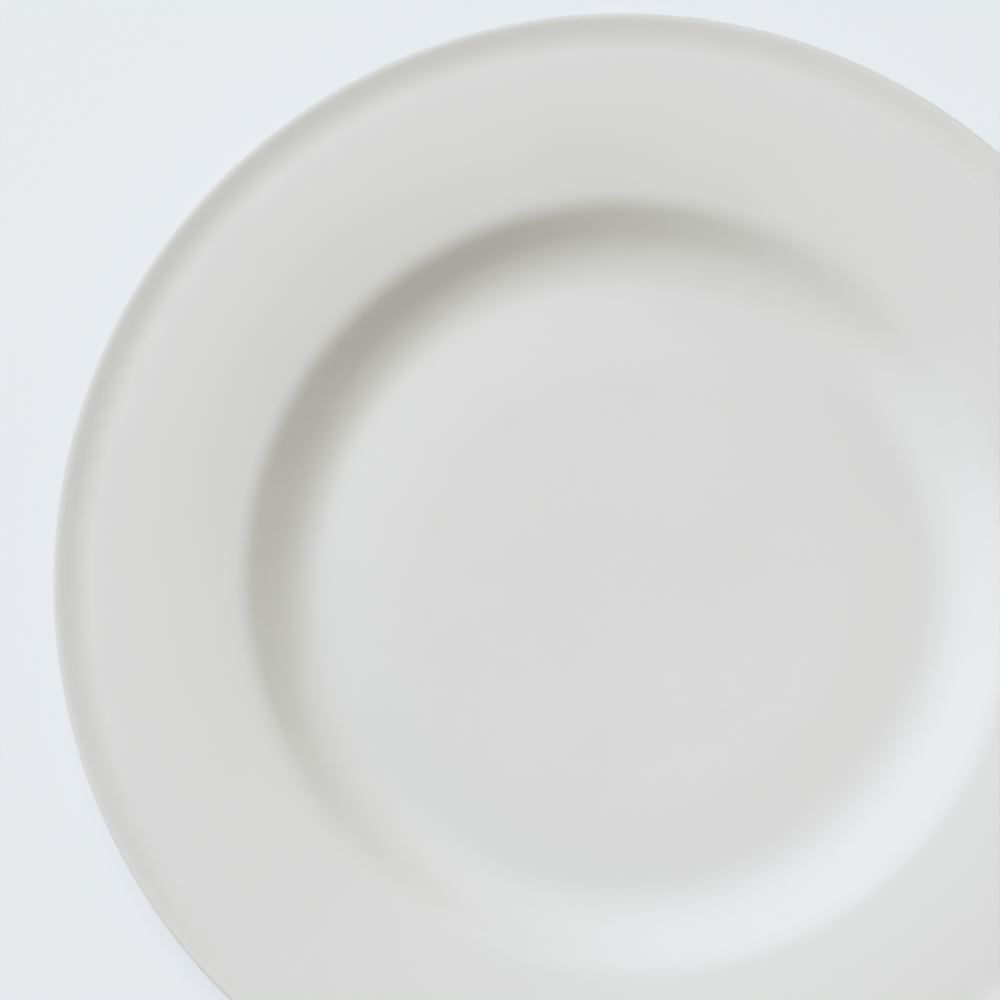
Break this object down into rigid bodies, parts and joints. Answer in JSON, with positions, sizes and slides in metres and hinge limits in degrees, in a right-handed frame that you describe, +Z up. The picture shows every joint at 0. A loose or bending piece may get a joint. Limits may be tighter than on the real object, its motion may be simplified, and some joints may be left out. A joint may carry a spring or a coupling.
{
  "type": "dessert plate",
  "caption": "Round rimmed dessert plate with a shallow well, a crowned rim, an upturned lip and a bare foot ring, for serving dessert.",
  "frame": {"origin": "on the table, under the centre of the plate", "axes": "+Z up along the plate's axis of symmetry; X and Y are alike, because the plate is round"},
  "size_m": [0.21, 0.21, 0.0192],
  "materials": {
    "clay": "matte",
    "glaze": "matte"
  },
  "bodies": {
    "root": {"plate_body": "clay", "glaze_coat": "glaze", "base_glaze": "glaze"}
  },
  "joints": []
}
